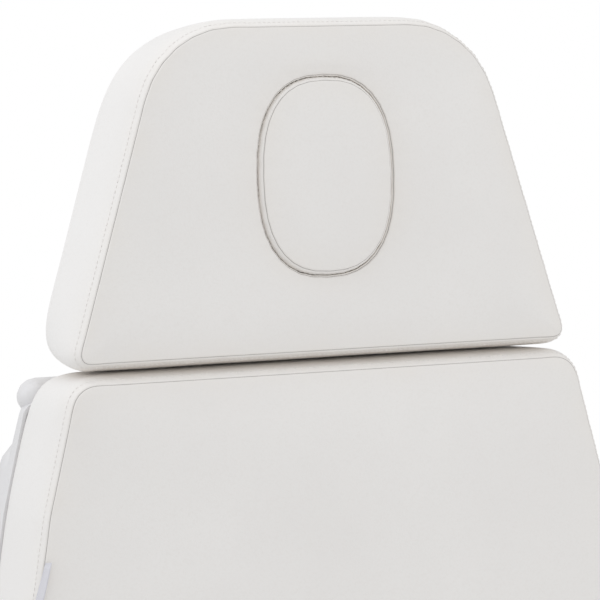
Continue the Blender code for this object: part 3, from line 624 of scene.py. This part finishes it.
def leather():
    """White synthetic leather: a fine pebbled grain, with painted warm shade beside its seams and
    in gaps.
    """
    n = Nodes("white_synthetic_leather")
    seam = n.add("Attribute", attribute_name="seam").outputs["Fac"]
    tone = n.remap(n.noise(7, 4), 0.35, 0.65, 0, 1)
    base = n.mix(tone, (0.850, 0.836, 0.824), (0.872, 0.860, 0.848))
    fleck = n.remap(n.noise(420, 2), 0.45, 0.75, 0, 0.35)
    base = n.mix(fleck, base, (0.81, 0.79, 0.77))
    # Painted shade: a warm cream tint beside the seams, masked by the seam nearness and broken up
    # by noise.
    drawn = n.math("MULTIPLY", seam, n.remap(n.noise(28, 3), 0.3, 0.7, 0.35, 1.0))
    base = n.mix(n.math("MULTIPLY", drawn, 0.6), base, (0.845, 0.812, 0.775))
    # Painted shade: a warm tint where ambient occlusion finds nearby surfaces, in gaps and grooves.
    occlusion_shade = n.add("AmbientOcclusion", {"Distance": 0.07}, samples=6).outputs["AO"]
    base = n.mix(n.remap(occlusion_shade, 0.10, 0.80, 0, 1), (0.86, 0.82, 0.775), base)
    grain = n.cells(850, "SMOOTH_F1")
    pores = n.noise(2400, 2)
    coarse = n.bump(n.noise(60, 4), 0.10, 0.0006)
    fine = n.bump(grain, 0.16, 0.00025, coarse)
    n.set(Base_Color=base, Roughness=n.remap(n.noise(35, 4), 0.3, 0.7, 0.40, 0.52),
          Normal=n.bump(pores, 0.08, 0.0001, fine), Sheen_Weight=0.12, Sheen_Roughness=0.4,
          Specular_IOR_Level=0.42)
    return n.material


def plain(name, colour, roughness, bump_scale=900, bump=0.05, metallic=0.0, shade=0.04, coat=0.0):
    """A moulded or painted surface: slight cloudiness, uneven gloss, a fine skin texture and
    painted highlights on convex edges.
    """
    n = Nodes(name)
    darker = tuple(c * (1 - shade) for c in colour)
    base = n.mix(n.remap(n.noise(14, 4), 0.3, 0.7, 0, 1), darker, colour)
    # Painted highlight: convex edges, found by their pointiness, are made lighter.
    edge = n.add("NewGeometry").outputs["Pointiness"]
    edge_highlight = tuple(min(1, c * 1.08 + 0.01) for c in colour)
    base = n.mix(n.remap(edge, 0.52, 0.60, 0, 0.5), base, edge_highlight)
    n.set(Base_Color=base, Metallic=metallic, Coat_Weight=coat,
          Roughness=n.remap(n.noise(50, 4), 0.3, 0.7, roughness * 0.85, roughness * 1.15),
          Normal=n.bump(n.noise(bump_scale, 3), bump, 0.0003))
    return n.material


def brushed(name, colour, roughness, axis):
    """Metal with fine lines from grinding along an axis."""
    n = Nodes(name)
    stretch = tuple(12 if k == axis else 1400 for k in range(3))
    mapped = n.add("Mapping", {"Vector": n.place(), "Scale": stretch}).outputs["Vector"]
    lines = n.noise(1, 3, 0.6, mapped)
    darker = tuple(c * 0.86 for c in colour)
    n.set(Base_Color=n.mix(lines, darker, colour), Metallic=1.0,
          Roughness=n.remap(lines, 0.3, 0.7, roughness * 0.8, roughness * 1.25),
          Normal=n.bump(lines, 0.04, 0.0001))
    return n.material


def plywood():
    n = Nodes("birch_plywood")
    mapped = n.add("Mapping", {"Vector": n.place(), "Scale": (9, 60, 60)}).outputs["Vector"]
    grain = n.noise(6, 6, 0.65, mapped)
    n.set(Base_Color=n.mix(grain, (0.50, 0.36, 0.22), (0.70, 0.56, 0.38)), Roughness=0.72,
          Normal=n.bump(grain, 0.2, 0.0004))
    return n.material


def woven(name, colour):
    n = Nodes(name)
    waves = []
    for direction in ("X", "Y"):
        waves.append(n.add("TexWave", {"Vector": n.place(), "Scale": 900, "Distortion": 0.4},
                           bands_direction=direction).outputs["Fac"])
    weave = n.math("MULTIPLY", waves[0], waves[1])
    darker = tuple(c * 0.86 for c in colour)
    n.set(Base_Color=n.mix(weave, darker, colour), Roughness=0.75, Sheen_Weight=0.3,
          Normal=n.bump(weave, 0.5, 0.0002))
    return n.material


white_leather = leather()
# The seam line: a dark grey cord sunk in each seam's groove, standing in for the shade there
# (painted shade).
seam_shade_cord = plain("seam_shadow", (0.50, 0.485, 0.47), 0.8)
stitch_thread = plain("stitch_thread", (0.815, 0.80, 0.78), 0.7)
shell_plastic = plain("shell_plastic", (0.76, 0.755, 0.765), 0.34, 700, 0.06, coat=0.15)
light_plastic = plain("light_plastic", (0.66, 0.67, 0.68), 0.45, 1500, 0.15)
dark_plastic = plain("dark_plastic", (0.055, 0.056, 0.060), 0.48, 1500, 0.2)
powder_coat = plain("white_powder_coat", (0.76, 0.76, 0.755), 0.38, 1100, 0.18)
rubber = plain("rubber", (0.025, 0.025, 0.026), 0.8, 1200, 0.3)
bright_steel = brushed("bright_steel", (0.66, 0.66, 0.68), 0.24, 2)
board_wood = plywood()
tag_ribbon = woven("tag_ribbon", (0.86, 0.86, 0.92))

FINISH = {"upholstery": white_leather, "shell": shell_plastic, "light_plastic": light_plastic,
          "dark_plastic": dark_plastic, "frame_paint": powder_coat, "bright_steel": bright_steel,
          "rubber": rubber, "plywood": board_wood, "tag": tag_ribbon}


def finish_cad_nodes():
    """Each carried-over solid gets its finish, softened edges and even shading."""
    slots = {part["node"]: part["material_slot"] for part in frame["record"]["subparts"]}
    for name, obj in frame["nodes"].items():
        obj.data.materials.clear()
        obj.data.materials.append(FINISH[slots[name]])
        if "custom_normal" in obj.data.attributes:
            obj.data.attributes.remove(obj.data.attributes["custom_normal"])
        obj.data.shade_smooth()
        weld = obj.modifiers.new("weld", "WELD")
        weld.merge_threshold = 1e-5
        bevel = obj.modifiers.new("bevel", "BEVEL")
        bevel.width = EDGE_BEVEL
        bevel.segments = 2
        bevel.limit_method = "ANGLE"
        bevel.angle_limit = BEVEL_ANGLE
        weighted = obj.modifiers.new("weighted_normal", "WEIGHTED_NORMAL")
        weighted.weight = 80


# Upholstery ----------------------------------------------------------------------------------
def side_rings(sheet, outline, low, top, edge):
    """The flat underside's edge, the side band and its line of stitches, from the bottom up."""
    normal = outward(outline)
    rear = softened(outline, edge.rear_reach)
    across, up = np.abs(outward(rear)[:, 0]), outward(rear)[:, 1]
    drawn_in = edge.rear_inset[0] * across ** 2 + edge.rear_inset[1] * np.maximum(up, 0) ** 2
    rear = rear - outward(rear) * drawn_in[:, None]
    slack = (edge.slack * across - edge.press * (1 - across))[:, None]
    rings = []
    for inset, rise in (*UNDER_ROWS, (edge.slack, UNDER_ROUND)):
        rings.append(sheet.ring(rear - outward(rear) * inset, low + rise, True))
    stitch_z = top - edge.drop - STITCH_DEPTH
    shoulder_z = top - edge.drop - edge.shoulder
    base = low + UNDER_ROUND
    count = max(2, round((shoulder_z - base) / SIDE_ROW))
    for i in range(1, count + 1):
        share = i / count
        drawn = (1 - share) ** SIDE_FULLNESS
        points = rear * drawn + outline * (1 - drawn)
        z = base + (shoulder_z - base) * share
        rings.append(sheet.ring(points - normal * slack, z, side=True))
    for share in SHOULDER_ROWS:
        depth = STITCH_DEPTH + (edge.shoulder - STITCH_DEPTH) * share
        points, z = edge.side(outline - normal * slack * share, top, depth)
        rings.append(sheet.ring(points, z, side=True))
    points, _ = edge.side(outline, top, STITCH_DEPTH)
    stitched = sheet.ring(points, stitch_z, True)
    rings.append(stitched)
    points, z = edge.side(outline, top, STITCH_DEPTH * UPPER_ROW)
    rings.append(sheet.ring(points, z, True))
    return rings, stitched


def face_edge(sheet, outline, top, edge):
    """The seam and the rings that lead from it on to the face."""
    rolled, seam_place = edge.rings(outline, top)
    rings = [sheet.ring(points, z, True) for points, z in rolled]
    points, z = edge.face(outline, top, FACE_START)
    rings.append(sheet.ring(points, z))
    return rings, rings[seam_place]


def padded_block(name, node, place, body, edge, limit, seed, spacing=0.0075, swell=0.0, proud=0.0):
    """A boxed cushion: flat underside, side band, sewn edge and a crowned face.

    limit caps the face's swelling, spacing is the distance between points, and swell and proud
    stand it out of its solid to the sides and to the front.
    """
    loops, low, top = section_outlines(node, place)
    top += proud
    outline, across, up = four_sides(loops[0], spacing)
    outline = outline + outward(outline) * swell
    sheet = Sheet()
    rings, stitched = side_rings(sheet, outline, low, top, edge)
    sheet.cap(rings[0], across, up, low, True, False)
    edge_part, seam = face_edge(sheet, outline, top, edge)
    rings += edge_part
    for lower, upper in zip(rings, rings[1:]):
        sheet.join(lower, upper)
    sheet.cap(rings[-1], across, up, top, False, True)
    sheet.dip([seam], top, edge)
    dress(sheet.build(name), sheet, place, body, node, [seam], [stitched],
          (limit, edge.side_limit), seed)


def dress(obj, sheet, place, body, node, seams, stitched, swelling, seed):
    """Swells a skin, gathers it at its seams, sews it and puts it in its place."""
    (inflate)(obj, sheet, *swelling)
    pucker(obj, seams, seed)
    finish_skin(obj, place)
    points, facing = positions(obj), normals(obj)
    # Each seam gets a dark cord in its groove, the painted shade of the seam line.
    for i, ring in enumerate(seams):
        line = points[ring] + facing[ring] * (CORD_RADIUS * 0.4)
        thread(f"{obj.name}_seam_{i + 1}", line, CORD_RADIUS, seam_shade_cord, body)
    for i, ring in enumerate(stitched):
        stitches(f"{obj.name}_stitching_{i + 1}", points[ring], facing[ring], stitch_thread, body)
    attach(obj, body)
    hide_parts(node)


def headrest_cushion(spacing=0.006, steps=16, limit=0.006, seed=11):
    """The tapered cushion, with its face panel sewn round the oval opening."""
    loops, low, top = section_outlines("headrest_cushion", HEAD)
    count = round(loop_length(loops[0]) / spacing)
    outline = evenly(from_bottom(loops[0]), count)
    opening = evenly(from_bottom(loops[1]), count)
    opening = opening - outward(opening) * OPENING_SWELL
    sheet = Sheet()
    lip = low + LIP_RISE
    rings = [sheet.ring(opening, lip, True),
             sheet.ring(opening + outward(opening) * LIP_FLARE, low, True)]
    sides, stitched = side_rings(sheet, outline, low, top, HEAD_EDGE)
    edge_part, seam = face_edge(sheet, outline, top, HEAD_EDGE)
    rings += sides + edge_part
    outer = HEAD_EDGE.face(outline, top, FACE_START)[0]
    inner = OPENING_EDGE.face(opening, top, FACE_START)[0]
    for i in range(1, steps):
        share = i / steps
        rings.append(sheet.ring(outer * (1 - share) + inner * share, top))
        sheet.front.update(rings[-1])
    inner_part, inner_seam = face_edge(sheet, opening, top, OPENING_EDGE)
    sheet.dip([seam, inner_seam], top, HEAD_EDGE)
    rings += inner_part[::-1]
    wall_top = top - OPENING_EDGE.drop - SEAM_STEPS[-1] - LIP_DEPTH
    for share in (0, 0.33, 0.66):
        z = wall_top + (lip - wall_top) * share
        rings.append(sheet.ring(opening, z, True))
    rings.append(rings[0])
    for lower, upper in zip(rings, rings[1:]):
        sheet.join(lower, upper)
    dress(sheet.build("headrest_upholstery"), sheet, HEAD, "headrest", "headrest_cushion",
          [seam, inner_seam], [stitched], (limit, HEAD_EDGE.side_limit), seed)


def hand_control_cable(turns=26, turn_points=14, coil_radius=0.0065, wire=0.0022, margin=0.003,
                       lead=0.12, straight=0.35):
    """The coiled cable, hanging from the hand control to the control box.

    margin is how far its solid's box stands out from the solid's middle line. lead is the share
    of its length over which the coil opens, after a straight stretch of straight times that.
    """
    low, high = (np.array(corner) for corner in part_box("hand_control_cable"))
    start = np.array([high[0] - margin, high[1] - margin, high[2] - CABLE_RISE])
    end = np.array([low[0], low[1] + margin, high[2]])
    sag = low[2] + coil_radius + wire - (start[2] + end[2]) / 2
    count = turns * turn_points
    share = np.linspace(0, 1, count + 1)
    ease = share ** 2 * (3 - 2 * share)
    path = np.stack([start[0] + (end[0] - start[0]) * ease, start[1] + (end[1] - start[1]) * share,
                     start[2] + (end[2] - start[2]) * share + sag * 4 * share * (1 - share)], 1)
    ahead = np.gradient(path, axis=0)
    ahead /= np.linalg.norm(ahead, axis=1)[:, None]
    side = np.cross(ahead, (0, 1, 0))
    side /= np.linalg.norm(side, axis=1)[:, None]
    over = np.cross(ahead, side)
    coiled = np.clip(np.minimum(share, 1 - share) / lead - straight, 0, 1)[:, None] * coil_radius
    angle = (share * turns * tau)[:, None]
    line = path + coiled * (side * np.cos(angle) + over * np.sin(angle))
    cable = thread("coiled_cable", line, wire, dark_plastic, "carriage", False, 2)
    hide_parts("hand_control_cable")


def seam_tag(rows=8, columns=5, thickness=0.0005, curl=0.0022, lean=0.008, taper=0.0025):
    """A blank woven tag, sewn into the seam along one side and standing slightly off the face."""
    bm = flat_mesh("seam_tag", BACK)
    corners = {(round(v.co.x, 5), round(v.co.y, 5)) for v in bm.verts}
    height = min(v.co.z for v in bm.verts)
    bm.free()
    by_height = sorted(corners, key=lambda corner: corner[1])
    lower, upper = sorted(by_height[:2]), sorted(by_height[-2:])
    grid = []
    for r in range(rows + 1):
        left, right = (np.array(lower[k]) + (np.array(upper[k]) - np.array(lower[k])) * r / rows
                       for k in (0, 1))
        left[0] -= lean * (1 - r / rows)
        right[0] -= lean * (1 - r / rows) + taper * r / rows
        grid.append([(*(left + (right - left) * c / columns),
                      height + curl * (c / columns) ** 1.5 * (1 + 0.25 * sin(3 * r / rows)))
                     for c in range(columns + 1)])
    mesh = bpy.data.meshes.new("blank_tag")
    wide = columns + 1
    faces = [(r * wide + c, r * wide + c + 1, (r + 1) * wide + c + 1, (r + 1) * wide + c)
             for r in range(rows) for c in range(columns)]
    mesh.from_pydata([tuple(map(float, p)) for row in grid for p in row], [], faces)
    mesh.transform(BACK)
    mesh.materials.append(tag_ribbon)
    mesh.shade_smooth()
    tag = placed("blank_tag", mesh, "backrest")
    solid = tag.modifiers.new("thickness", "SOLIDIFY")
    solid.thickness = thickness
    solid.offset = 1
    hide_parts("seam_tag")


finish_cad_nodes()
hand_control_cable()
seam_tag()
headrest_cushion()
padded_block("face_plug_upholstery", "face_plug", HEAD, "face_plug", PLUG_EDGE, limit=0.003,
             seed=12, spacing=0.0045, swell=PLUG_SWELL, proud=PLUG_PROUD)
padded_block("backrest_upholstery", "backrest_cushion", BACK, "backrest", BOX_EDGE, limit=0.007,
             seed=21)
padded_block("seat_upholstery", "seat_cushion", FLAT, "carriage", BOX_EDGE, limit=0.008, seed=31)
padded_block("legrest_upholstery", "legrest_cushion", LEG, "legrest", BOX_EDGE, limit=0.008,
             seed=41)
for number, side in enumerate(("left", "right")):
    padded_block(f"armrest_upholstery_{side}", f"armrest_pad_{side}", FLAT, f"armrest_{side}",
                 ARM_EDGE, limit=0.003, seed=51 + number, spacing=0.006)


# Stage ---------------------------------------------------------------------------------------
def floor():
    bpy.ops.mesh.primitive_circle_add(vertices=96, radius=3.2, fill_type="NGON")
    disc = bpy.context.object
    disc.name = "floor"
    disc.data.materials.append(plain("pale_floor", (0.80, 0.80, 0.79), 0.6, 40, 0.03))


def world(background, ambient):
    """White to the camera, and an even, slightly dimmer light from all round."""
    made = bpy.data.worlds.new("studio")
    made.use_nodes = True
    tree = made.node_tree
    shade = tree.nodes["Background"]
    seen = tree.nodes.new("ShaderNodeLightPath").outputs["Is Camera Ray"]
    strength = tree.nodes.new("ShaderNodeMapRange")
    strength.inputs["To Min"].default_value = ambient
    strength.inputs["To Max"].default_value = background
    tree.links.new(seen, strength.inputs["Value"])
    tree.links.new(strength.outputs["Result"], shade.inputs["Strength"])
    shade.inputs["Color"].default_value = (1, 1, 1, 1)
    bpy.context.scene.world = made


def area_light(name, target, offset, size, power, colour):
    data = bpy.data.lights.new(name, "AREA")
    data.shape = "RECTANGLE"
    data.size, data.size_y = size
    data.energy = power
    data.color = colour
    light = bpy.data.objects.new(name, data)
    bpy.context.scene.collection.objects.link(light)
    light.location = Vector(target) + Vector(offset)
    light.rotation_euler = (-Vector(offset)).to_track_quat("-Z", "Y").to_euler()


def camera():
    """A long lens from the front left, a little above the headrest's lower edge."""
    bm = flat_mesh("headrest_cushion", HEAD)
    lowest = min(v.co.y for v in bm.verts)
    face = max(v.co.z for v in bm.verts)
    bm.free()
    target = HEAD @ Vector((0, lowest + BOX_EDGE.inset, face - BOX_EDGE.drop))
    yaw, pitch, roll = (radians(angle) for angle in CAMERA_TURN)
    forward = Vector((sin(yaw) * cos(pitch), cos(yaw) * cos(pitch), sin(pitch)))
    data = bpy.data.cameras.new("camera")
    data.lens = CAMERA_LENS
    obj = bpy.data.objects.new("camera", data)
    bpy.context.scene.collection.objects.link(obj)
    turn = forward.to_track_quat("-Z", "Y").to_matrix().to_4x4() @ Matrix.Rotation(roll, 4, "Z")
    obj.matrix_world = Matrix.Translation(target + Vector(CAMERA_OFFSET)) @ turn
    bpy.context.scene.camera = obj


floor()
world(1.0, 0.78)
head_middle = tuple(np.mean(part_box("headrest_cushion"), axis=0))
area_light("key", head_middle, (-3.0, 0.5, 1.3), (2.4, 2.4), 16.5, (0.915, 0.945, 1.0))
area_light("top", head_middle, (-0.9, 0.1, 2.6), (2.4, 2.4), 15, (1.0, 1.0, 1.0))
area_light("fill", head_middle, (2.2, -3.2, 0.8), (2.4, 2.4), 13.5, (1.0, 0.985, 0.97))
camera()
bpy.context.scene.view_settings.view_transform = "Standard"
